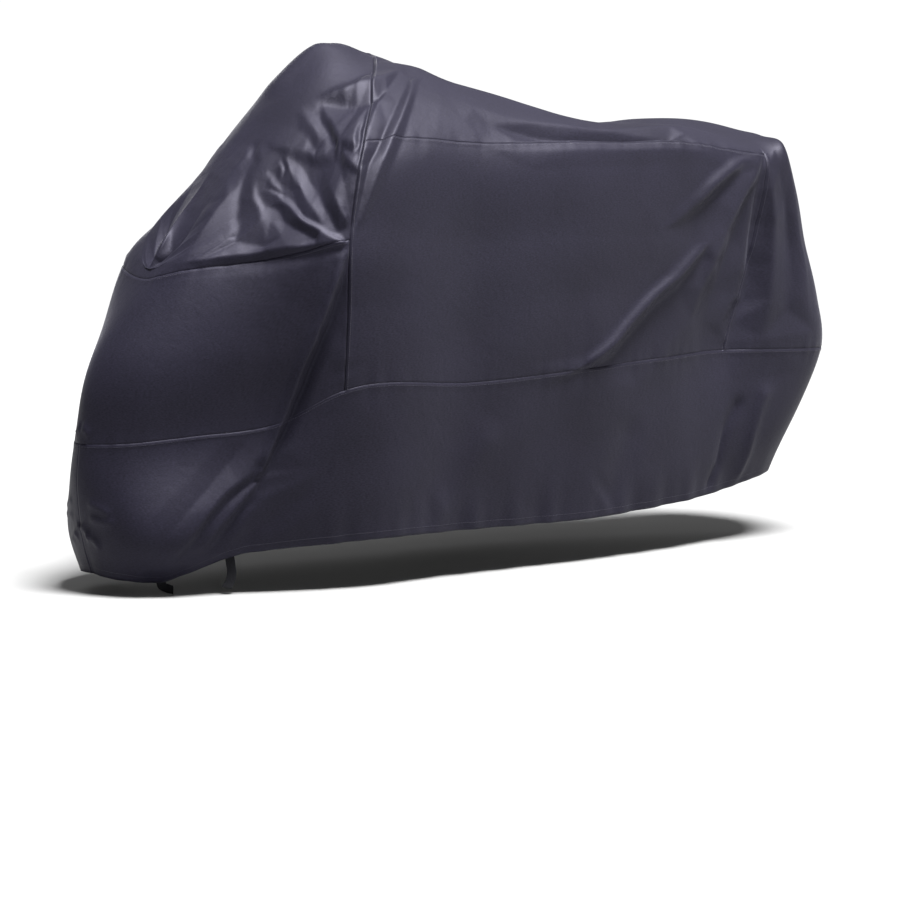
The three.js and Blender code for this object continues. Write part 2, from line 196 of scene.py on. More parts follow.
def unfolded(rib, place):
    """The drape without its folds. Past either end rib it goes on down its other half."""
    rib, place = np.broadcast_arrays(np.asarray(rib, float), np.asarray(place, float))
    shape = rib.shape
    rib, place = rib.ravel(), place.ravel()
    beyond = (rib < 0) | (rib > LAST_RIB)
    place = np.where(beyond, FAR - place, place)
    rib = np.where(rib < 0, -rib, np.where(rib > LAST_RIB, 2 * LAST_RIB - rib, rib))
    lines = []
    for j in range(FAR + 1):
        line = np.concatenate([NET[1:2, FAR - j], NET[:, j], NET[-2:-1, FAR - j]])
        lines.append(curve(line, mirrored_knots(RIB_KNOTS), rib_length(rib)))
    under = 2 * lines[0] - lines[1]
    past = 2 * lines[-1] - lines[-2]
    sections = np.stack([under, *lines, past])
    return curve(sections, mirrored_knots(PLACE_KNOTS), place_length(place)).reshape(*shape, 3)


# The grid of the whole cloth, shared by all panels so that they meet edge to edge. Its cells
# are finer where the hood lies in sharp creases, and narrow on both sides of each seam line.
CELL = 0.0070
FINE_CELL = 0.0045
FINE_RIBS = range(0, 5)
FINE_PLACES = range(4, 10)
SEAM_LINES = (0.0016, 0.0036, 0.0065, 0.0100)


def grid_lines(gaps, seams, fine_steps):
    """Positions from 0 to the last of the ribs or places, closer together at the seams."""
    lines = []
    for step, gap in enumerate(gaps):
        start = SEAM_LINES if step in seams else ()
        end = SEAM_LINES if step + 1 in seams else ()
        first = start[-1] if start else 0
        last = gap - (end[-1] if end else 0)
        cells = max(1, round((last - first) / (FINE_CELL if step in fine_steps else CELL)))
        inner = np.linspace(first, last, cells + 1)[:-1]
        marks = [0, *start[:-1], *inner] if start else list(inner)
        marks += [gap - x for x in end[::-1]]
        lines += [step + mark / gap for mark in marks]
    return np.array([*lines, len(gaps)])


RIB_LINES = grid_lines(rib_gaps, {CROSS_SEAM, REAR_SEAM}, FINE_RIBS)
PLACE_SEAMS = {SKIRT, NOSE, TOP, FAR - TOP, FAR - NOSE, FAR - SKIRT}
PLACE_LINES = grid_lines([*place_gaps, *place_gaps[::-1]], PLACE_SEAMS, FINE_PLACES)
ribs, places = np.meshgrid(RIB_LINES, PLACE_LINES, indexing="ij")
drape = unfolded(ribs, places)

NUDGE = 0.02
along = unfolded(ribs + NUDGE, places) - unfolded(ribs - NUDGE, places)
upward = unfolded(ribs, places + NUDGE) - unfolded(ribs, places - NUDGE)
facing = np.cross(along, upward)
# Each end of the ridge is a single point, where the cloth faces the way it does next to it.
ridge_row = len(PLACE_LINES) // 2
facing[[0, -1], ridge_row] = facing[[1, -2], ridge_row]
facing /= np.linalg.norm(facing, axis=2, keepdims=True)

# Lengths over the cloth, along the ribs' lines and up the places' lines.
run = np.zeros(ribs.shape)
run[1:] = np.cumsum(np.linalg.norm(np.diff(drape, axis=0), axis=2), axis=0)
rise = np.zeros(ribs.shape)
rise[:, 1:] = np.cumsum(np.linalg.norm(np.diff(drape, axis=1), axis=2), axis=1)

# Soft single folds. Heights and half widths are in millimetres, a height below 0 is a trough.
# edge is 2 for a soft swell and near 1 for a crisp crease. A fold that is open keeps its
# height at its far end. The path's (rib, place) pairs run along crest or trough.
# what, height, half width at start and end, edge, open, far side too, path
FOLDS = [
    ("hem trough", -9, 13, 15, 1.3, True, True, [(7.78, 0.0), (7.98, 1.12), (8.18, 1.5)]),
    ("hem ridge", 9, 14, 20, 1.3, True, True, [(8.28, 0.0), (8.38, 1.16), (8.44, 1.56)]),
    ("nose dent", 4, 10, 10, 1.2, False, True, [(0.24, 1.44), (0.6, 1.4), (0.88, 1.34)]),
    ("nose dent", 4, 9, 9, 1.2, False, True, [(0.24, 1.28), (0.64, 1.26), (0.98, 1.28)]),
    ("skirt swell", 5, 40, 60, 2.0, False, True, [(5.2, 1.7), (5.0, 1.2), (4.7, 0.5)]),
    ("skirt swell", -5, 40, 60, 2.0, False, True, [(6.6, 1.6), (6.4, 1.1), (6.2, 0.5)]),
    ("taut ridge", 17, 85, 70, 2.0, False, False, [(4.3, 6.8), (4.8, 6.5), (5.5, 6.4), (6.4, 6.7)]),
    ("screen corner", 9, 45, 40, 2.0, False, False, [(2.4, 7.1), (2.85, 7.2), (3.3, 7.2)]),
    ("tail corner", 9, 48, 48, 2.0, False, False,
     [(8.75, 5.0), (9.0, 6.0), (9.05, 7.0), (9.0, 8.0), (8.75, 9.0)]),
    ("nose fold", 6, 11, 9, 1.2, False, True, [(0.02, 1.20), (0.14, 1.14), (0.30, 1.08)]),
    ("nose fold", 6, 10, 9, 1.2, False, True, [(0.12, 1.08), (0.36, 1.06), (0.56, 0.99)]),
    ("nose fold", 5, 11, 9, 1.2, False, True, [(0.02, 2.22), (0.14, 2.18), (0.30, 2.10)]),
]
FAR_FOLD_SHARE = 0.8
PATH_STEPS = 24
REACH = 3.2
FADE = 0.22
CREST_ROUND = 0.02


def smooth(t):
    t = np.clip(t, 0, 1)
    return t * t * (3 - 2 * t)


def path_points(path):
    """Evenly spread points on a smooth curve through a fold's (rib, place) pairs."""
    path = np.array(path, float)
    padded = np.concatenate([2 * path[:1] - path[1:2], path, 2 * path[-1:] - path[-2:-1]])
    knots = np.arange(-1.0, len(path) + 1)
    t = np.linspace(0, len(path) - 1, PATH_STEPS + 1)
    pairs = curve(padded, knots, t)
    return unfolded(pairs[:, 0], pairs[:, 1])


def fold_lift(points, height, start_width, end_width, edge, is_open):
    """How far one fold lifts the cloth, over the whole grid."""
    lift = np.zeros(ribs.shape)
    margin = REACH * max(start_width, end_width)
    inside = np.all((drape > points.min(0) - margin) & (drape < points.max(0) + margin), axis=2)
    cloth = drape[inside]
    best = np.full(len(cloth), np.inf)
    share = np.zeros(len(cloth))
    for i, (a, b) in enumerate(zip(points[:-1], points[1:])):
        t = np.clip((cloth - a) @ (b - a) / ((b - a) @ (b - a)), 0, 1)
        distance = np.linalg.norm(cloth - a - t[:, None] * (b - a), axis=1)
        nearer = distance < best
        best[nearer] = distance[nearer]
        share[nearer] = (i + t[nearer]) / PATH_STEPS
    off = best / (start_width + (end_width - start_width) * share)
    crest = np.exp(CREST_ROUND ** (edge / 2) - (off**2 + CREST_ROUND) ** (edge / 2))
    ends = smooth(share / FADE) * (1 if is_open else smooth((1 - share) / FADE))
    lift[inside] = height * ends * crest * (off < REACH)
    return lift


MM = 0.001
lift = np.zeros(ribs.shape)
for _, height, start_width, end_width, edge, is_open, both, path in FOLDS:
    size = (start_width * MM, end_width * MM, edge, is_open)
    lift += fold_lift(path_points(path), height * MM, *size)
    if both:
        far_path = [(rib, FAR - place) for rib, place in path]
        lift += fold_lift(path_points(far_path), height * MM * FAR_FOLD_SHARE, *size)

# Nets of creases, where taut cloth lies in flat facets between sharp lines. Each net covers one
# region, and its edge lines have no lift. A point is (rib, place, lift in millimetres).
HOOD_CREASES = [
    ("edge on the side panel",
     [(4.74, 5.90, 0), (4.58, 4.86, 0), (4.44, 4.48, 0), (4.26, 4.14, 0), (4.02, 3.88, 0)]),
    ("edge on the shroud",
     [(4.02, 3.88, 0), (3.92, 3.78, 0), (3.02, 3.80, 0), (2.06, 3.84, 0), (1.30, 3.84, 0),
      (0.78, 3.88, 0)]),
    ("edge of the smooth top",
     [(2.24, 6.64, 0), (2.40, 6.46, 0), (2.62, 6.34, 0), (2.76, 6.28, 0), (2.90, 6.24, 0),
      (3.14, 6.24, 0), (3.56, 6.24, 0), (4.02, 6.36, 0), (4.34, 6.56, 0), (4.60, 6.38, 0),
      (4.74, 5.90, 0)]),
    ("edge beyond the rim",
     [(2.60, 6.90, 0), (2.50, 7.30, 0), (1.68, 7.60, 0), (1.00, 7.70, 0), (0.10, 7.70, 0)]),
    ("edge at the nose",
     [(0.10, 7.70, 0), (0.04, 6.00, 0), (0.04, 4.60, 0), (0.10, 3.90, 0), (0.60, 3.80, 0)]),
    ("lip",
     [(2.90, 6.24, 0), (3.14, 6.18, 10), (3.44, 6.14, 18), (3.70, 6.14, 22), (3.98, 6.12, 20),
      (4.14, 6.20, 12), (4.30, 6.36, 2)]),
    ("under the lip",
     [(2.98, 6.18, -3), (3.20, 6.08, -13), (3.46, 5.98, -19), (3.70, 5.88, -21),
      (3.94, 5.82, -19), (4.08, 5.84, -13), (4.18, 6.02, -7), (4.30, 6.36, 2)]),
    ("facet edge", [(2.98, 6.14, -6), (3.14, 5.86, 2), (3.34, 5.56, 10), (3.52, 5.28, 13)]),
    ("facet foot", [(3.52, 5.28, 13), (3.68, 5.18, 12), (3.84, 5.08, 10)]),
    ("facet side", [(3.90, 5.78, -13), (3.82, 5.60, -5), (3.82, 5.38, 2), (3.84, 5.08, 10)]),
    ("seam trough, upper",
     [(3.96, 5.76, -12), (3.92, 5.48, -8), (3.88, 5.24, -6), (3.92, 4.98, -3)]),
    ("seam crest",
     [(4.10, 5.78, -3), (4.06, 5.48, 1), (4.04, 5.14, 2), (4.04, 4.90, 3), (3.96, 4.76, 3)]),
    ("facet trough",
     [(2.74, 6.26, -1), (2.86, 6.12, -5), (3.00, 5.90, -8), (3.22, 5.58, -8), (3.40, 5.32, -5)]),
    ("facet crest",
     [(2.70, 6.24, 1), (2.80, 6.02, 3), (2.96, 5.72, 3), (3.16, 5.52, 3), (3.36, 5.38, 1)]),
    ("inner trough",
     [(2.44, 6.30, -1), (2.64, 6.04, -3), (2.76, 5.82, -3), (2.88, 5.58, -3), (2.96, 5.44, -1)]),
    ("lower crest",
     [(2.24, 6.40, 1), (2.32, 6.08, 3), (2.48, 5.78, 4), (2.72, 5.58, 5), (2.96, 5.40, 6),
      (3.18, 5.30, 5), (3.40, 5.28, 2)]),
    ("under the lower crest",
     [(2.40, 5.70, 0), (2.56, 5.50, -4), (2.84, 5.32, -6), (3.14, 5.16, -6), (3.42, 5.08, -5),
      (3.54, 5.12, -2)]),
    ("hollow under the crest",
     [(2.56, 5.50, -5), (2.80, 5.16, -8), (3.10, 4.86, -11), (3.34, 4.54, -11),
      (3.58, 4.28, -10), (3.74, 4.12, -7), (3.92, 3.98, -1)]),
    ("hollow's near side",
     [(2.40, 5.70, 0), (2.44, 5.36, 2), (2.64, 4.98, 2), (3.02, 4.68, 1), (3.38, 4.28, -2),
      (3.68, 4.08, -2)]),
    ("thin ridge",
     [(3.14, 5.14, -6), (3.36, 4.82, -3), (3.56, 4.56, -1), (3.74, 4.36, 2), (3.90, 4.24, 4)]),
    ("seam side hollow",
     [(3.58, 4.90, -8), (3.74, 4.66, -8), (3.84, 4.46, -8), (3.94, 4.28, -5)]),
    ("knot", [(3.56, 5.14, 2), (3.70, 4.94, 4), (3.82, 4.84, 5), (3.96, 4.74, 4)]),
    ("knot hollow", [(3.56, 5.18, 1), (3.70, 5.04, -1), (3.84, 4.94, -1), (3.92, 4.94, -2)]),
    ("under the knot", [(3.70, 4.86, -4), (3.86, 4.74, -5), (3.98, 4.68, -4)]),
    ("seam trough, lower",
     [(3.98, 4.68, -4), (3.96, 4.50, -5), (3.96, 4.32, -5), (3.94, 4.14, -3), (3.92, 4.00, -1)]),
    ("seam ridge", [(4.04, 4.68, 1), (4.04, 4.50, 1), (4.02, 4.32, 1), (4.00, 4.12, 1)]),
    ("bar trough",
     [(4.42, 6.24, -2), (4.30, 5.70, -9), (4.22, 5.24, -12), (4.16, 4.90, -12),
      (4.10, 4.74, -10), (4.08, 4.50, -8), (4.04, 4.28, -4), (4.00, 4.02, 0)]),
    ("bar crest",
     [(4.46, 6.16, 3), (4.36, 5.52, 4), (4.28, 5.02, 4), (4.22, 4.78, 4), (4.16, 4.50, 3),
      (4.10, 4.22, 2)]),
    ("bar second trough",
     [(4.52, 6.08, -2), (4.42, 5.44, -5), (4.36, 4.96, -6), (4.30, 4.72, -4), (4.24, 4.46, -3),
      (4.14, 4.20, -1)]),
    ("above the long crest",
     [(1.98, 5.34, -1), (2.14, 4.96, -2), (2.62, 4.72, -3), (3.22, 4.36, -3), (3.68, 4.08, -2)]),
    ("long crest",
     [(1.96, 5.18, 2), (2.16, 4.82, 5), (2.78, 4.54, 8), (3.36, 4.20, 8), (3.90, 3.98, 7)]),
    ("under the long crest",
     [(1.82, 5.42, -2), (1.88, 4.90, -3), (2.32, 4.52, -5), (2.88, 4.32, -3), (3.28, 4.12, -1)]),
    ("puff over the nose seam",
     [(0.62, 4.16, 2), (0.94, 4.14, 3), (1.18, 4.12, 5), (1.42, 4.12, 7), (1.78, 4.10, 8),
      (2.18, 4.10, 10), (2.74, 4.08, 10), (3.34, 4.04, 8), (3.90, 3.98, 7)]),
    ("under the puff",
     [(0.78, 4.02, 0), (1.24, 3.98, -2), (1.56, 3.98, -3), (1.86, 3.98, -4), (2.20, 3.98, -5),
      (2.78, 3.96, -5), (3.38, 3.92, -4), (3.82, 3.90, -2)]),
    ("bright side", [(1.80, 5.00, -3), (2.02, 4.56, 0), (2.46, 4.26, 5)]),
    ("small crease", [(2.12, 6.38, -3), (2.06, 6.18, -2)]),
    ("small crest", [(2.14, 6.26, 3), (2.10, 6.02, 1), (2.10, 5.72, 1)]),
    ("small crease", [(2.26, 6.08, 0), (2.34, 5.86, -3), (2.34, 5.64, -3), (2.32, 5.50, -2)]),
    ("small crest", [(2.28, 5.68, 1), (2.28, 5.50, 3)]),
    ("small crest", [(2.38, 5.68, 3), (2.40, 5.44, 4), (2.46, 5.14, 3)]),
    ("small crease", [(2.10, 5.68, -2), (2.16, 5.54, -3)]),
    ("small crest", [(2.06, 5.58, 1), (2.04, 5.24, 3)]),
    ("small crease", [(2.12, 5.48, -2), (2.16, 5.26, -2), (2.32, 5.00, -2)]),
    ("screen edge",
     [(2.12, 6.56, 2), (2.00, 6.62, 3), (1.78, 6.74, 3), (1.48, 6.96, 3), (1.20, 7.00, 3),
      (0.98, 7.00, 3), (0.70, 7.00, 3), (0.40, 7.00, 2), (0.00, 6.80, 2), (0.00, 5.68, 0)]),
    ("hollow beside the screen",
     [(2.04, 6.40, 6), (1.88, 6.36, 6), (1.64, 6.32, 3), (1.38, 6.28, -2),
      (1.18, 6.26, -7), (0.92, 6.12, -14), (0.68, 5.98, -21), (0.42, 5.92, -24),
      (0.16, 5.64, -15), (0.04, 5.04, -4)]),
    ("band crest",
     [(2.02, 6.28, 1), (1.86, 6.16, 0), (1.68, 5.94, -1), (1.50, 5.58, -3), (1.38, 5.12, -5),
      (1.42, 4.58, -6)]),
    ("band middle", [(1.54, 5.90, 2), (1.28, 5.68, 3), (1.06, 5.34, 5), (0.86, 4.90, 5)]),
    ("wedge edge",
     [(1.98, 6.16, -1), (1.78, 5.94, -4), (1.62, 5.62, -7), (1.48, 5.10, -10), (1.52, 4.52, -11)]),
    ("wedge foot", [(1.58, 4.38, -8), (1.82, 4.26, -3), (2.16, 4.16, 0)]),
    ("wedge side", [(1.90, 5.80, 1), (1.74, 5.24, 3), (1.82, 4.66, 4), (2.12, 4.26, 2)]),
]
FRONT_CREASES = [
    ("edge on the side panel",
     [(4.02, 3.88, 0), (4.02, 3.20, 0), (4.02, 2.54, 0), (4.02, 1.96, 0), (3.92, 1.62, 0),
      (3.76, 1.40, 0), (3.74, 1.14, 0), (3.54, 0.00, 0)]),
    ("edge on the shroud",
     [(3.62, 3.88, 0), (2.40, 3.88, 0), (2.24, 3.20, 0), (2.34, 2.52, 0), (2.36, 1.94, 0),
      (2.08, 1.64, 0), (1.60, 1.32, 0), (1.18, 0.40, 0)]),
    ("corner crest",
     [(3.90, 3.78, 5), (3.82, 3.58, 13), (3.72, 3.40, 18), (3.64, 3.22, 22), (3.54, 3.02, 23),
      (3.46, 2.82, 24), (3.34, 2.64, 24), (3.26, 2.46, 24), (3.20, 2.26, 24), (3.14, 2.04, 23),
      (3.10, 1.94, 22), (3.08, 1.80, 19), (3.08, 1.66, 18), (3.06, 1.54, 14)]),
    ("corner shoulder",
     [(3.74, 3.70, 1), (3.54, 3.32, 5), (3.32, 2.96, 6), (3.14, 2.62, 6), (3.02, 2.28, 6),
      (2.94, 1.96, 5), (2.90, 1.72, 5)]),
    ("corner foot",
     [(3.94, 3.60, -6), (3.88, 3.36, -12), (3.78, 3.16, -15), (3.70, 2.94, -19), (3.58, 2.76, -22),
      (3.46, 2.54, -22), (3.38, 2.34, -19), (3.28, 2.16, -15), (3.22, 1.96, -12), (3.16, 1.84, -10),
      (3.12, 1.70, -6), (3.10, 1.54, -5)]),
    ("beyond the foot",
     [(3.96, 3.22, -5), (3.88, 2.84, -8), (3.72, 2.50, -8), (3.54, 2.18, -5), (3.40, 1.90, -1),
      (3.32, 1.68, 0)]),
    ("shroud trough", [(3.40, 3.74, -2), (2.96, 3.34, -5), (2.76, 2.92, -6), (2.70, 2.36, -5)]),
    ("shin crest",
     [(3.00, 1.58, 4), (2.84, 1.50, 4), (2.68, 1.42, 4), (2.56, 1.28, 4), (2.42, 1.12, 3),
      (2.22, 1.00, 3), (2.02, 0.46, 2)]),
    ("shin trough",
     [(3.08, 1.48, -2), (2.96, 1.44, -5), (2.84, 1.36, -8), (2.72, 1.24, -9), (2.60, 1.14, -9),
      (2.46, 1.04, -8), (2.30, 0.76, -5)]),
    ("second crest",
     [(3.06, 1.42, 4), (3.00, 1.32, 4), (2.92, 1.20, 4), (2.82, 1.08, 3), (2.68, 0.98, 3),
      (2.54, 0.70, 3)]),
    ("second trough",
     [(3.08, 1.34, -3), (3.00, 1.18, -8), (2.88, 1.02, -10), (2.72, 0.66, -8), (2.58, 0.48, -3)]),
    ("third crest", [(3.18, 1.22, 1), (3.08, 1.08, 1), (2.96, 0.72, 1), (2.82, 0.32, 0)]),
    ("shin hollow",
     [(2.68, 1.92, -2), (2.54, 1.74, -6), (2.38, 1.52, -6), (2.18, 1.34, -6), (1.94, 1.16, -5),
      (1.68, 0.76, -2)]),
    ("skirt trough", [(3.82, 1.36, -2), (3.56, 1.16, -5), (3.32, 0.96, -5), (3.10, 0.54, -3)]),
    ("skirt swell", [(3.68, 1.04, 1), (3.46, 0.60, 2), (3.22, 0.18, 1)]),
]
SEAT_CREASES = [
    ("edge on the side panel",
     [(5.00, 4.96, 0), (5.40, 4.70, 0), (6.40, 4.70, 0), (7.40, 4.74, 0)]),
    ("bevel", [(5.20, 4.90, 3), (5.60, 4.88, 7), (6.40, 4.88, 8), (7.10, 4.88, 6)]),
    ("ledge", [(5.30, 5.04, 2), (5.80, 5.04, 4), (6.50, 5.04, 4), (6.96, 5.04, 3)]),
    ("foot of the seat",
     [(5.14, 5.38, -6), (5.58, 5.24, -25), (6.18, 5.22, -30), (6.84, 5.28, -20)]),
    ("seat rim", [(5.02, 5.70, 2), (5.46, 5.50, 6), (6.16, 5.44, 10), (6.94, 5.74, 10)]),
    ("rear wall", [(6.98, 5.10, 0), (7.02, 5.44, 2), (7.10, 5.88, 8)]),
    ("edge on the seat", [(4.90, 6.20, 0), (5.60, 6.40, 0), (6.40, 6.30, 0), (7.20, 6.20, 0)]),
    ("edge to the tail", [(7.20, 6.20, 0), (7.60, 5.50, 0), (7.50, 4.98, 0), (7.40, 4.74, 0)]),
    ("front edge", [(4.82, 5.94, 0), (4.90, 5.42, 0), (5.00, 4.96, 0)]),
]
TAIL_CREASES = [
    ("edge towards the nose",
     [(8.00, 5.12, 0), (7.42, 4.90, 0), (7.00, 4.80, 0), (6.50, 4.40, 0), (5.90, 3.20, 0),
      (5.40, 2.14, 0), (5.50, 1.86, 0)]),
    ("edge below and behind",
     [(5.50, 1.86, 0), (6.64, 1.76, 0), (7.70, 1.70, 0), (8.10, 1.70, 0), (8.46, 1.70, 0),
      (8.74, 1.76, 0), (8.84, 2.34, 0), (8.86, 3.82, 0), (8.74, 4.72, 0), (8.36, 5.12, 0),
      (8.00, 5.12, 0)]),
    ("upper crest",
     [(7.66, 4.88, 4), (7.48, 4.72, 14), (7.32, 4.58, 18), (7.18, 4.44, 16), (7.00, 4.30, 9),
      (6.74, 4.10, 3)]),
    ("upper shoulder",
     [(7.52, 4.88, 0), (7.30, 4.70, 1), (7.12, 4.54, 1), (6.98, 4.42, 1), (6.82, 4.30, 0)]),
    ("upper foot",
     [(7.62, 4.72, -2), (7.46, 4.58, -7), (7.30, 4.44, -7), (7.14, 4.30, -4), (6.94, 4.16, 0)]),
    ("long crest",
     [(7.32, 4.02, 9), (7.16, 3.76, 15), (6.98, 3.44, 18), (6.80, 3.20, 19), (6.64, 2.98, 20),
      (6.44, 2.68, 20), (6.24, 2.36, 22), (6.04, 2.16, 18), (5.90, 2.04, 7)]),
    ("long shoulder",
     [(7.10, 3.90, 0), (6.82, 3.42, 2), (6.54, 3.04, 3), (6.32, 2.70, 4), (6.12, 2.40, 5),
      (5.94, 2.18, 2)]),
    ("long foot",
     [(7.30, 3.78, -2), (7.04, 3.22, -7), (6.74, 2.86, -9), (6.54, 2.52, -10), (6.34, 2.20, -10),
      (6.16, 2.06, -6), (5.98, 2.00, -1)]),
    ("middle crest",
     [(7.86, 4.80, 5), (7.72, 4.58, 13), (7.60, 4.36, 17), (7.52, 4.14, 17), (7.44, 3.68, 14),
      (7.36, 3.20, 9), (7.32, 2.60, 3)]),
    ("middle foot",
     [(7.86, 4.62, -5), (7.74, 4.40, -10), (7.68, 4.14, -12), (7.62, 3.70, -10), (7.60, 3.16, -8),
      (7.60, 2.54, -3)]),
    ("beside the rear trough",
     [(7.82, 4.48, 0), (7.84, 4.18, 1), (7.88, 3.76, 2), (7.94, 3.06, 1), (7.88, 2.48, 0)]),
    ("rear trough",
     [(7.92, 4.82, -5), (7.92, 4.60, -14), (7.94, 4.34, -19), (7.96, 4.08, -20),
      (8.04, 3.58, -20), (8.08, 2.96, -16), (8.06, 2.52, -10), (8.04, 2.10, -4)]),
    ("rear crest",
     [(8.04, 4.80, 5), (8.12, 4.58, 11), (8.22, 4.30, 14), (8.28, 3.80, 14), (8.34, 2.96, 13),
      (8.34, 2.20, 9)]),
    ("tail trough",
     [(8.36, 4.76, -3), (8.50, 4.42, -9), (8.54, 4.10, -12), (8.56, 3.50, -11),
      (8.54, 2.76, -7)]),
    ("tail crest", [(8.74, 4.30, 2), (8.76, 3.98, 5), (8.74, 3.18, 4)]),
]
SAME_POINT = 1e-5


def crossing_lift(point, corners, edges, heights):
    """The lift where two creases cross: the mean of both lines there."""
    found = []
    for start, end in edges:
        nearest, share = intersect_point_line(point, corners[start], corners[end])
        if 0 <= share <= 1 and (nearest.xy - point).length < 2 * SAME_POINT:
            found.append(heights[start] + (heights[end] - heights[start]) * share)
    return sum(found) / len(found)


def net_lift(creases, far):
    """How far a net of creases lifts the cloth, over the whole grid."""
    corners, edges, heights = [], [], []
    for _, path in creases:
        for step, (rib, place, height) in enumerate(path):
            place = FAR - place if far else place
            if step:
                edges.append((len(corners) - 1, len(corners)))
            corners.append(Vector((rib_length(rib), place_length(place))))
            heights.append(height * MM)
    points, _, facets, sources, _, _ = delaunay_2d_cdt(corners, edges, [], 0, SAME_POINT)
    lifts = [
        heights[source[0]] if source else crossing_lift(point, corners, edges, heights)
        for point, source in zip(points, sources)
    ]
    across, up = rib_length(RIB_LINES), place_length(PLACE_LINES)
    lift = np.zeros(ribs.shape)
    for facet in facets:
        a, b, c = (np.array(points[k]) for k in facet)
        low, high = np.min([a, b, c], axis=0), np.max([a, b, c], axis=0)
        columns = slice(*np.searchsorted(across, (low[0], high[0])))
        rows = slice(*np.searchsorted(up, (low[1], high[1])))
        x, y = across[columns, None] - a[0], up[None, rows] - a[1]
        (bx, by), (cx, cy) = b - a, c - a
        area = bx * cy - by * cx
        if abs(area) < SAME_POINT**2:
            continue
        to_b, to_c = (x * cy - y * cx) / area, (bx * y - by * x) / area
        inside = (to_b >= 0) & (to_c >= 0) & (to_b + to_c <= 1)
        of_a, of_b, of_c = (lifts[k] for k in facet)
        height = of_a + (of_b - of_a) * to_b + (of_c - of_a) * to_c
        lift[columns, rows] = np.where(inside, height, lift[columns, rows])
    # Each point takes in its neighbours, so that no crease is sharper than cloth can be.
    lift[1:-1] = (lift[:-2] + 2 * lift[1:-1] + lift[2:]) / 4
    lift[:, 1:-1] = (lift[:, :-2] + 2 * lift[:, 1:-1] + lift[:, 2:]) / 4
    return lift


for creases in (HOOD_CREASES, FRONT_CREASES, SEAT_CREASES, TAIL_CREASES):
    lift += net_lift(creases, far=False)
    lift += net_lift(creases, far=True) * FAR_FOLD_SHARE

# The thread draws the cloth into short puckers on both sides of a seam. One edge is turned
# under and sewn down, which leaves a narrow step on one side of a sunken line.
# what, follows a rib or a place, at, from, to, side of the step, depth of the line in mm
SEAMS = [
    ("nose_seam_left", "place", NOSE, 0, CROSS_SEAM, -1, 1.0),
    ("nose_seam_right", "place", FAR - NOSE, 0, CROSS_SEAM, 1, 1.0),
    ("top_seam_left", "place", TOP, CROSS_SEAM, REAR_SEAM, -1, 0.8),
    ("top_seam_right", "place", FAR - TOP, CROSS_SEAM, REAR_SEAM, 1, 0.8),
    ("skirt_seam_left", "place", SKIRT, 0, LAST_RIB, -1, 0.8),
    ("skirt_seam_right", "place", FAR - SKIRT, 0, LAST_RIB, 1, 0.8),
    ("cross_seam", "rib", CROSS_SEAM, SKIRT, FAR - SKIRT, 1, 2.6),
    ("rear_seam_left", "rib", REAR_SEAM, SKIRT, TOP, 1, 0.9),
    ("rear_seam_right", "rib", REAR_SEAM, FAR - TOP, FAR - SKIRT, 1, 0.9),
]
# The front fold pulls the skirt seams flat between these ribs.
FLAT_SEAM = (3.0, 3.2, 3.85, 4.0)
FLAT_SEAM_REST = 0.2
SEAM_SINK_WIDTH = 0.0022
FELL_HEIGHT = 0.0008
FELL_WIDTH = 0.010
FELL_SLOPE = 0.002
PUCKER_HEIGHT = 0.0011
PUCKER_REACH = 0.028125
PUCKER_LENGTHS = (0.032, 0.110)
PUCKER_WAVES = 9
# Along a seam the puckers come and go by this much round a mean share of their height.
PUCKER_MEAN = 0.6
PUCKER_CHANGE = 0.4
CHANGE_LENGTHS = (0.3, 0.8)
CHANGE_WAVES = 3


def wavy(length, shortest, longest, count, rng):
    """A wavering line along a length, as a sum of waves of about unit height."""
    total = np.zeros(np.shape(length))
    for _ in range(count):
        wave = rng.uniform(shortest, longest)
        total += np.sin(2 * np.pi * (length / wave + rng.uniform()))
    return total / np.sqrt(count)


def seam_window(follows, at, start, end):
    """The grid's cells that a seam runs past, and the signed distance from it."""
    line = RIB_LINES if follows == "rib" else PLACE_LINES
    other = PLACE_LINES if follows == "rib" else RIB_LINES
    k = int(np.argmin(abs(line - at)))
    span = (other >= start) & (other <= end)
    if follows == "rib":
        across = run - run[k : k + 1]
        window = np.broadcast_to(span[None, :], ribs.shape)
        length = np.broadcast_to(rise[k : k + 1], ribs.shape)
    else:
        across = rise - rise[:, k : k + 1]
        window = np.broadcast_to(span[:, None], ribs.shape)
        length = np.broadcast_to(run[:, k : k + 1], ribs.shape)
    return window, across, length


rng = np.random.default_rng(7)
for name, follows, at, start, end, side, depth in SEAMS:
    window, across, length = seam_window(follows, at, start, end)
    off = abs(across)
    pucker = wavy(length, *PUCKER_LENGTHS, PUCKER_WAVES, rng)
    strength = PUCKER_MEAN + PUCKER_CHANGE * wavy(length, *CHANGE_LENGTHS, CHANGE_WAVES, rng)
    seam_lift = PUCKER_HEIGHT * pucker * strength * np.exp(-off / PUCKER_REACH)
    sink = depth * MM * np.exp(-((off / SEAM_SINK_WIDTH) ** 2))
    fell = smooth((across * side - SEAM_SINK_WIDTH) / FELL_SLOPE)
    fell *= smooth((FELL_WIDTH + FELL_SLOPE - across * side) / FELL_SLOPE)
    if at in (SKIRT, FAR - SKIRT) and follows == "place":
        shown = np.interp(ribs, FLAT_SEAM, (1, FLAT_SEAM_REST, FLAT_SEAM_REST, 1))
        sink, fell = sink * shown, fell * shown
    lift += (seam_lift - sink + FELL_HEIGHT * fell) * window

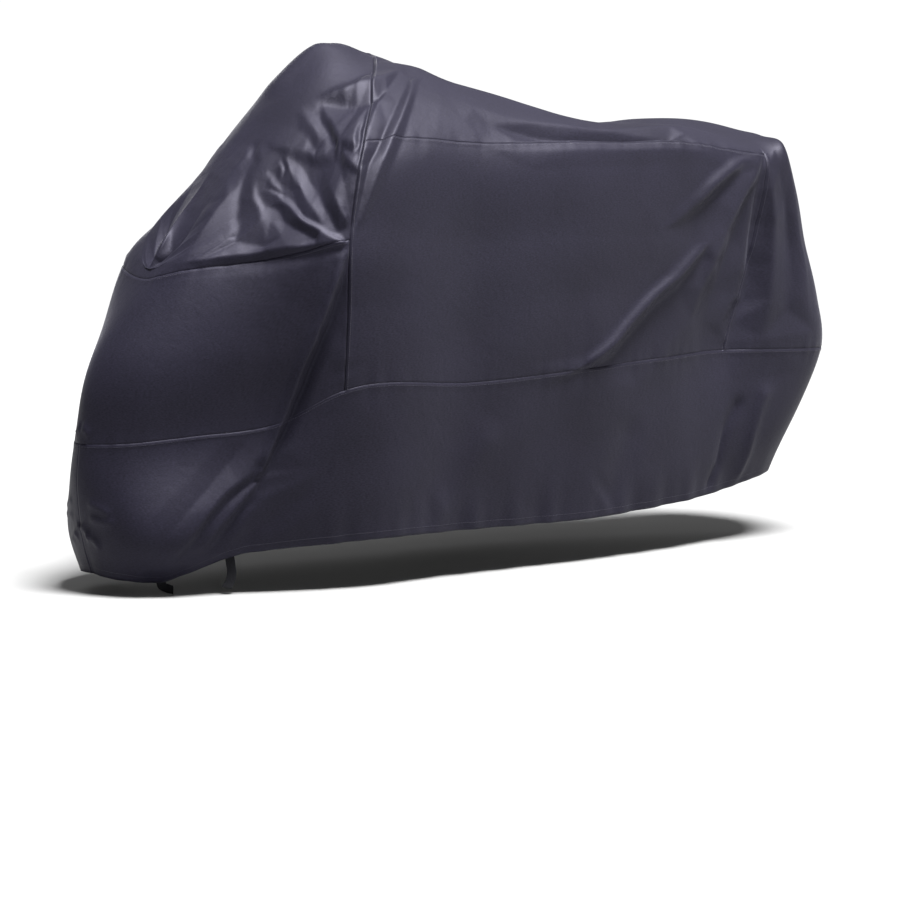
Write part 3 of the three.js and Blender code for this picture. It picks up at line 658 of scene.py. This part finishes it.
# The elastic in the hem gathers the cloth above it into short upright folds.
GATHER_HEIGHT = 0.0018
GATHER_REACH = 0.075
GATHER_LENGTHS = (0.045, 0.16)
GATHER_WAVES = 8
for k, height_up in ((0, rise), (-1, rise[:, -1:] - rise)):
    hem_run = np.broadcast_to(run[:, [k]], ribs.shape)
    gathers = wavy(hem_run, *GATHER_LENGTHS, GATHER_WAVES, rng)
    lift += GATHER_HEIGHT * gathers * np.exp(-((height_up / GATHER_REACH) ** 2))

# Slack: broad shallow waves all over.
SLACK_HEIGHT = 0.0022
SLACK_LENGTHS = (0.16, 0.42)
SLACK_WAVES = 14
for _ in range(SLACK_WAVES):
    direction = rng.normal(size=3)
    wave = rng.uniform(*SLACK_LENGTHS)
    phase = drape @ (direction / np.linalg.norm(direction)) / wave
    slack = np.sin(2 * np.pi * (phase + rng.uniform()))
    lift += SLACK_HEIGHT / np.sqrt(SLACK_WAVES) * slack

cloth = drape + facing * lift[:, :, None]

# Both halves share their points on the nose line and on the rear line.
for column in (0, -1):
    cloth[column] = (cloth[column] + cloth[column, ::-1]) / 2


def cloth_material():
    """Grey-violet taffeta: a fine plain weave under a thin coat, with a soft gloss."""
    material = bpy.data.materials.new("coated_taffeta")
    material.use_nodes = True
    nodes, links = material.node_tree.nodes, material.node_tree.links
    shader = nodes["Principled BSDF"]
    shader.inputs["Roughness"].default_value = 0.55
    shader.inputs["Sheen Weight"].default_value = 0.04
    shader.inputs["Sheen Roughness"].default_value = 0.45
    shader.inputs["Sheen Tint"].default_value = (0.75, 0.74, 0.9, 1)
    shader.inputs["Specular IOR Level"].default_value = 0.25
    shader.inputs["Specular Tint"].default_value = (0.82, 0.79, 1.0, 1)

    place = nodes.new("ShaderNodeTexCoord")
    mottle = nodes.new("ShaderNodeTexNoise")
    mottle.inputs["Scale"].default_value = 5.0
    mottle.inputs["Detail"].default_value = 6.0
    links.new(place.outputs["Object"], mottle.inputs["Vector"])
    stretch = nodes.new("ShaderNodeMapping")
    stretch.inputs["Scale"].default_value = (0.35, 1.0, 1.0)
    links.new(place.outputs["UV"], stretch.inputs["Vector"])
    slubs = nodes.new("ShaderNodeTexNoise")
    slubs.inputs["Scale"].default_value = 420.0
    slubs.inputs["Detail"].default_value = 2.0
    links.new(stretch.outputs["Vector"], slubs.inputs["Vector"])
    uneven = nodes.new("ShaderNodeMix")
    uneven.data_type = "FLOAT"
    uneven.inputs["Factor"].default_value = 0.72
    links.new(mottle.outputs["Fac"], uneven.inputs["A"])
    links.new(slubs.outputs["Fac"], uneven.inputs["B"])
    spread = nodes.new("ShaderNodeMapRange")
    spread.inputs["From Min"].default_value = 0.36
    spread.inputs["From Max"].default_value = 0.64
    links.new(uneven.outputs["Result"], spread.inputs["Value"])
    tint = nodes.new("ShaderNodeMix")
    tint.data_type = "RGBA"
    tint.inputs["A"].default_value = (0.0041, 0.0037, 0.0076, 1)
    tint.inputs["B"].default_value = (0.0120, 0.0109, 0.0210, 1)
    links.new(spread.outputs["Result"], tint.inputs["Factor"])
    links.new(tint.outputs["Result"], shader.inputs["Base Color"])

    weave = []
    for direction in ("X", "Y"):
        threads = nodes.new("ShaderNodeTexWave")
        threads.bands_direction = direction
        threads.inputs["Scale"].default_value = 260.0
        threads.inputs["Distortion"].default_value = 0.6
        links.new(place.outputs["UV"], threads.inputs["Vector"])
        weave.append(threads.outputs["Fac"])
    cross = nodes.new("ShaderNodeMath")
    cross.operation = "MULTIPLY"
    links.new(weave[0], cross.inputs[0])
    links.new(weave[1], cross.inputs[1])
    weave_bump = nodes.new("ShaderNodeBump")
    weave_bump.inputs["Strength"].default_value = 0.25
    weave_bump.inputs["Distance"].default_value = 0.0003
    links.new(cross.outputs["Value"], weave_bump.inputs["Height"])
    crumple = nodes.new("ShaderNodeTexNoise")
    crumple.inputs["Scale"].default_value = 28.0
    crumple.inputs["Detail"].default_value = 3.0
    crumple.inputs["Distortion"].default_value = 0.8
    links.new(place.outputs["Object"], crumple.inputs["Vector"])
    crumple_bump = nodes.new("ShaderNodeBump")
    crumple_bump.inputs["Strength"].default_value = 0.2
    crumple_bump.inputs["Distance"].default_value = 0.004
    links.new(crumple.outputs["Fac"], crumple_bump.inputs["Height"])
    links.new(weave_bump.outputs["Normal"], crumple_bump.inputs["Normal"])
    packing = nodes.new("ShaderNodeTexNoise")
    packing.noise_type = "RIDGED_MULTIFRACTAL"
    packing.inputs["Scale"].default_value = 6.5
    packing.inputs["Detail"].default_value = 2.0
    packing.inputs["Distortion"].default_value = 0.6
    links.new(place.outputs["Object"], packing.inputs["Vector"])
    packing_bump = nodes.new("ShaderNodeBump")
    packing_bump.inputs["Strength"].default_value = 0.25
    packing_bump.inputs["Distance"].default_value = 0.004
    links.new(packing.outputs["Fac"], packing_bump.inputs["Height"])
    links.new(crumple_bump.outputs["Normal"], packing_bump.inputs["Normal"])
    links.new(packing_bump.outputs["Normal"], shader.inputs["Normal"])
    return material


def put_in_scene(name, data):
    """A new object in the scene."""
    placed = bpy.data.objects.new(name, data)
    bpy.context.scene.collection.objects.link(placed)
    return placed


taffeta = cloth_material()
THICKNESS = 0.0012

# Each panel as blocks of the grid, from rib, to rib, from place, to place, the rectangle that it
# is cut from and the area of the cut.
PANELS = [
    ("hood", [(0, CROSS_SEAM, NOSE, FAR - NOSE)], (1.10, 0.80), 0.50),
    ("front_shroud",
     [(0, CROSS_SEAM, SKIRT, NOSE), (0, CROSS_SEAM, FAR - NOSE, FAR - SKIRT)], (1.60, 0.46), 0.53),
    ("side_panel_left", [(CROSS_SEAM, REAR_SEAM, SKIRT, TOP)], (1.45, 0.66), 0.78),
    ("side_panel_right", [(CROSS_SEAM, REAR_SEAM, FAR - TOP, FAR - SKIRT)], (1.45, 0.66), 0.78),
    ("top_panel",
     [(CROSS_SEAM, REAR_SEAM, TOP, FAR - TOP), (REAR_SEAM, LAST_RIB, SKIRT, FAR - SKIRT)],
     (2.10, 1.05), 1.26),
    ("skirt_left", [(0, LAST_RIB, HEM, SKIRT)], (2.55, 0.44), 0.94),
    ("skirt_right", [(0, LAST_RIB, FAR - SKIRT, FAR)], (2.55, 0.44), 0.94),
]


def line_at(lines, mark):
    return int(np.argmin(abs(lines - mark)))


def panel_object(name, blocks):
    """One panel as a sheet of its blocks, with its weave laid along the cloth."""
    index = {}
    points, weave_places, faces = [], [], []

    def vertex(column, row):
        if column in (0, len(RIB_LINES) - 1):
            row = min(row, len(PLACE_LINES) - 1 - row)
        if (column, row) not in index:
            index[column, row] = len(points)
            points.append(cloth[column, row])
            weave_places.append((run[column, row], rise[column, row]))
        return index[column, row]

    for first_rib, last_rib, first_place, last_place in blocks:
        columns = range(line_at(RIB_LINES, first_rib), line_at(RIB_LINES, last_rib))
        rows = range(line_at(PLACE_LINES, first_place), line_at(PLACE_LINES, last_place))
        for column in columns:
            for row in rows:
                corners = [
                    vertex(column, row), vertex(column + 1, row),
                    vertex(column + 1, row + 1), vertex(column, row + 1),
                ]
                face = list(dict.fromkeys(corners))
                if len(face) > 2:
                    faces.append(face)
    mesh = bpy.data.meshes.new(name)
    mesh.from_pydata(points, [], faces)
    mesh.polygons.foreach_set("use_smooth", [True] * len(mesh.polygons))
    weave_map = mesh.uv_layers.new(name="weave")
    loops = np.zeros(len(mesh.loops), int)
    mesh.loops.foreach_get("vertex_index", loops)
    weave_map.data.foreach_set("uv", np.array(weave_places)[loops].ravel())
    mesh.materials.append(taffeta)
    panel = put_in_scene(name + "_cloth", mesh)
    thicken = panel.modifiers.new("thickness", "SOLIDIFY")
    thicken.thickness = THICKNESS
    thicken.offset = -1
    return panel


for name, blocks, flat, area in PANELS:
    panel = panel_object(name, blocks)
    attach(panel, "root")
    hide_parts(name)

# Seam stitching
# The panels are joined by flat felled seams, each sewn down with a row of lockstitch in a
# slightly lighter polyester thread. One more row closes the hem's channel for the elastic.
STITCH_PITCH = 0.0052
STITCH_LENGTH = 0.0038
STITCH_WIDTH = 0.0007
STITCH_RISE = 0.00035
ROW_FROM_SEAM = 0.0075
ROW_ABOVE_HEM = 0.018


def row_beside(follows, at, start, end, offset):
    """Points of a line beside a seam or an edge, and which way the cloth faces there."""
    by_rib = follows == "rib"
    marks, others = (RIB_LINES, PLACE_LINES) if by_rib else (PLACE_LINES, RIB_LINES)
    lengths = run.T if by_rib else rise
    sheet, faces = (grid.transpose(1, 0, 2) if by_rib else grid for grid in (cloth, facing))
    k = line_at(marks, at)
    points, outs = [], []
    for j in np.flatnonzero((others >= start) & (others <= end)):
        across = lengths[j] - lengths[j, k]
        points.append([np.interp(offset, across, sheet[j, :, axis]) for axis in range(3)])
        outs.append([np.interp(offset, across, faces[j, :, axis]) for axis in range(3)])
    return np.array(points), np.array(outs)


# Corners of one stitch in shares of its length, width and rise, and its six faces.
STITCH_CORNERS = [
    (-0.5, -0.5, -0.5), (-0.5, 0.5, -0.5), (0.5, 0.5, -0.5), (0.5, -0.5, -0.5),
    (-0.3, -0.3, 1.0), (-0.3, 0.3, 1.0), (0.3, 0.3, 1.0), (0.3, -0.3, 1.0),
]
STITCH_FACES = [
    (0, 1, 2, 3), (4, 7, 6, 5), (0, 3, 7, 4), (3, 2, 6, 7), (2, 1, 5, 6), (1, 0, 4, 5),
]


def row_stitches(points, outs):
    """The corners of a row of stitches that lie along a line of points, eight to each."""
    steps = np.linalg.norm(np.diff(points, axis=0), axis=1)
    marks = np.concatenate([[0], np.cumsum(steps)])
    middles = np.arange(STITCH_PITCH / 2, marks[-1] - STITCH_PITCH / 2, STITCH_PITCH)

    def at(values, lengths):
        return np.stack([np.interp(lengths, marks, values[:, k]) for k in range(3)], axis=1)

    way = at(points, middles + STITCH_LENGTH / 2) - at(points, middles - STITCH_LENGTH / 2)
    out = at(outs, middles)
    side = np.cross(out, way)
    side *= STITCH_WIDTH / np.linalg.norm(side, axis=1, keepdims=True)
    corners = [
        at(points, middles) + way * along + side * across + out * height * STITCH_RISE
        for along, across, height in STITCH_CORNERS
    ]
    return np.stack(corners, axis=1).reshape(-1, 3)


rows = [row_beside(*seam[1:5], ROW_FROM_SEAM * seam[5]) for seam in SEAMS]
rows.append(row_beside("place", HEM, 0, LAST_RIB, ROW_ABOVE_HEM))
rows.append(row_beside("place", FAR, 0, LAST_RIB, -ROW_ABOVE_HEM))
corners = np.concatenate([row_stitches(*row) for row in rows])
faces = [
    [first + corner for corner in face]
    for first in range(0, len(corners), len(STITCH_CORNERS)) for face in STITCH_FACES
]
stitch_mesh = bpy.data.meshes.new("seam_stitches")
stitch_mesh.from_pydata(corners, [], faces)
thread = bpy.data.materials.new("polyester_thread")
thread.use_nodes = True
thread_shader = thread.node_tree.nodes["Principled BSDF"]
thread_shader.inputs["Roughness"].default_value = 0.45
ply = thread.node_tree.nodes.new("ShaderNodeTexWave")
ply.inputs["Scale"].default_value = 900.0
ply.inputs["Distortion"].default_value = 2.0
ply_tint = thread.node_tree.nodes.new("ShaderNodeMix")
ply_tint.data_type = "RGBA"
ply_tint.inputs["A"].default_value = (0.022, 0.020, 0.034, 1)
ply_tint.inputs["B"].default_value = (0.060, 0.056, 0.080, 1)
thread.node_tree.links.new(ply.outputs["Fac"], ply_tint.inputs["Factor"])
thread.node_tree.links.new(ply_tint.outputs["Result"], thread_shader.inputs["Base Color"])
stitch_mesh.materials.append(thread)
seam_stitches = put_in_scene("seam_stitches", stitch_mesh)
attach(seam_stitches, "root")

# Ties
# Two free ends of black ribbed polyester webbing, sewn inside the front hem and cut slantwise.
# They hang from the hem edge towards the ground.
TIE_WIDTH = 0.022
TIE_THICKNESS = 0.0013
TIE_SEWN = 0.024
TIE_CLEARANCE = 0.0006
TIE_RIBS = 7
TIE_RIB_RISE = 0.0003
TIE_CUT_SLANT = 0.007
TIE_CELLS = (90, 42)
# What shows the ways of the hem and of the cloth above it, and a short step along the tie.
HEM_COLUMNS = 3
PLACE_ABOVE_HEM = 0.5
TIE_STEP = 0.0005
# name, rib where it is sewn in, moves in metres from the hem edge to the cut end
TIES = [
    ("tie_short", 1.925, [(0.002, 0, -0.008), (0.014, -0.004, -0.009), (0.016, -0.006, -0.005)]),
    ("tie_long", 2.875,
     [(0.002, 0, -0.014), (0.002, -0.002, -0.022), (-0.006, -0.002, -0.022),
      (-0.012, 0, -0.018)]),
]

webbing = bpy.data.materials.new("ribbed_webbing")
webbing.use_nodes = True
web_nodes, web_links = webbing.node_tree.nodes, webbing.node_tree.links
web_shader = web_nodes["Principled BSDF"]
web_shader.inputs["Roughness"].default_value = 0.7
web_shader.inputs["Specular IOR Level"].default_value = 0.12
picks = web_nodes.new("ShaderNodeTexWave")
picks.bands_direction = "Y"
picks.inputs["Scale"].default_value = 320.0
picks.inputs["Distortion"].default_value = 1.0
web_place = web_nodes.new("ShaderNodeTexCoord")
web_links.new(web_place.outputs["UV"], picks.inputs["Vector"])
web_tint = web_nodes.new("ShaderNodeMix")
web_tint.data_type = "RGBA"
web_tint.inputs["A"].default_value = (0.003, 0.003, 0.004, 1)
web_tint.inputs["B"].default_value = (0.010, 0.010, 0.013, 1)
web_links.new(picks.outputs["Fac"], web_tint.inputs["Factor"])
web_links.new(web_tint.outputs["Result"], web_shader.inputs["Base Color"])
web_bump = web_nodes.new("ShaderNodeBump")
web_bump.inputs["Strength"].default_value = 0.4
web_bump.inputs["Distance"].default_value = 0.0003
web_links.new(picks.outputs["Fac"], web_bump.inputs["Height"])
web_links.new(web_bump.outputs["Normal"], web_shader.inputs["Normal"])

for name, rib, moves in TIES:
    column = line_at(RIB_LINES, rib)
    edge, above = cloth[column, 0], cloth[column, line_at(PLACE_LINES, PLACE_ABOVE_HEM)]
    hem_way = cloth[column + HEM_COLUMNS, 0] - cloth[column - HEM_COLUMNS, 0]
    hem_way /= np.linalg.norm(hem_way)
    up = (above - edge) / np.linalg.norm(above - edge)
    inward = np.cross(up, hem_way)
    inward *= -np.sign(inward @ facing[column, 0])
    root = edge + inward * (THICKNESS + TIE_CLEARANCE + TIE_THICKNESS / 2)
    line = [root + up * TIE_SEWN, root]
    for move in moves:
        line.append(line[-1] + move)
    line = np.array([2 * line[0] - line[1], *line, 2 * line[-1] - line[-2]])
    knots = np.concatenate([[0], np.cumsum(np.linalg.norm(np.diff(line, axis=0), axis=1))])
    length = knots[-2] - knots[1]
    shares, widths = np.meshgrid(
        np.linspace(0, 1, TIE_CELLS[0] + 1), np.linspace(-0.5, 0.5, TIE_CELLS[1] + 1), indexing="ij"
    )
    reach = shares * (length - TIE_CUT_SLANT * (widths + 0.5))
    middle = curve(line, knots, (knots[1] + reach).ravel())
    ahead = curve(line, knots, (knots[1] + reach + TIE_STEP).ravel())
    way = (ahead - middle) / np.linalg.norm(ahead - middle, axis=1, keepdims=True)
    thick = np.cross(way, hem_way)
    thick /= np.linalg.norm(thick, axis=1, keepdims=True)
    wide = np.cross(thick, way)
    rib_rise = TIE_RIB_RISE * np.cos(2 * np.pi * TIE_RIBS * widths.ravel())[:, None]
    points = middle + wide * TIE_WIDTH * widths.ravel()[:, None] + thick * rib_rise
    stride = TIE_CELLS[1] + 1
    faces = [
        (i * stride + j, i * stride + j + 1, (i + 1) * stride + j + 1, (i + 1) * stride + j)
        for i in range(TIE_CELLS[0]) for j in range(TIE_CELLS[1])
    ]
    mesh = bpy.data.meshes.new(name)
    mesh.from_pydata(points, [], faces)
    mesh.polygons.foreach_set("use_smooth", [True] * len(mesh.polygons))
    pick_map = mesh.uv_layers.new(name="picks")
    loops = np.zeros(len(mesh.loops), int)
    mesh.loops.foreach_get("vertex_index", loops)
    places_on_web = np.stack([widths.ravel() * TIE_WIDTH, reach.ravel()], axis=1)
    pick_map.data.foreach_set("uv", places_on_web[loops].ravel())
    mesh.materials.append(webbing)
    tie = put_in_scene(name + "_webbing", mesh)
    thicken = tie.modifiers.new("thickness", "SOLIDIFY")
    thicken.thickness = TIE_THICKNESS
    thicken.offset = 0
    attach(tie, "root")
    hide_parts(name)

# Floor and light
# A pale seamless paper floor under soft studio light: a strong light high overhead, weaker ones
# from the rear on the near side and from the far side, and an even surround.
FLOOR_SIZE = 400
bpy.ops.mesh.primitive_plane_add(size=FLOOR_SIZE, location=(0, 0, 0))
floor = bpy.context.object
floor.name = "floor"
paper = bpy.data.materials.new("pale_paper")
paper.use_nodes = True
paper_shader = paper.node_tree.nodes["Principled BSDF"]
paper_shader.inputs["Base Color"].default_value = (0.24, 0.24, 0.24, 1)
paper_shader.inputs["Roughness"].default_value = 0.9
floor.data.materials.append(paper)

world = bpy.data.worlds.new("studio")
world.use_nodes = True
surround = world.node_tree.nodes["Background"]
surround.inputs["Color"].default_value = (1, 1, 1, 1)
surround.inputs["Strength"].default_value = 0.12
bpy.context.scene.world = world

# The overhead light is far off, so that it is even over the floor.
OVERHEAD_FROM = (0.14, -0.21, 0.97)
overhead_lamp = bpy.data.lights.new("overhead", "SUN")
overhead_lamp.energy = 13.5
overhead_lamp.angle = np.radians(20)
overhead = put_in_scene("overhead", overhead_lamp)
overhead.rotation_euler = Vector(OVERHEAD_FROM).to_track_quat("Z", "Y").to_euler()

# name, place, what it points at, size, watts
LIGHTS = [
    ("near side", (4.4, -4.6, 1.6), (0.2, 0, 0.6), 2.2, 75),
    ("far side", (1.6, 5.2, 2.0), (0, 0, 0.6), 2.6, 90),
]
for name, place, aim, size, watts in LIGHTS:
    lamp = bpy.data.lights.new(name, "AREA")
    lamp.size = size
    lamp.energy = watts
    light = put_in_scene(name, lamp)
    light.location = place
    light.rotation_euler = (Vector(place) - Vector(aim)).to_track_quat("Z", "Y").to_euler()

# Camera
# The photograph's view: low, from ahead of the nose on the near side, through a long lens.
AZIMUTH = np.radians(-35)
ELEVATION = np.radians(7)
camera_place = np.array([-5.88334, -8.66646, 1.55272]) - MIDDLE
back = Vector((
    np.sin(AZIMUTH) * np.cos(ELEVATION), -np.cos(AZIMUTH) * np.cos(ELEVATION), np.sin(ELEVATION),
))
right = Vector((np.cos(AZIMUTH), np.sin(AZIMUTH), 0))
up = back.cross(right)
lens = bpy.data.cameras.new("camera")
lens.sensor_width = 36
lens.lens = 168.44
camera = put_in_scene("camera", lens)
turn = Matrix((right, up, back)).transposed().to_4x4()
camera.matrix_world = Matrix.Translation(camera_place) @ turn
bpy.context.scene.camera = camera
bpy.context.scene.view_settings.view_transform = "Standard"
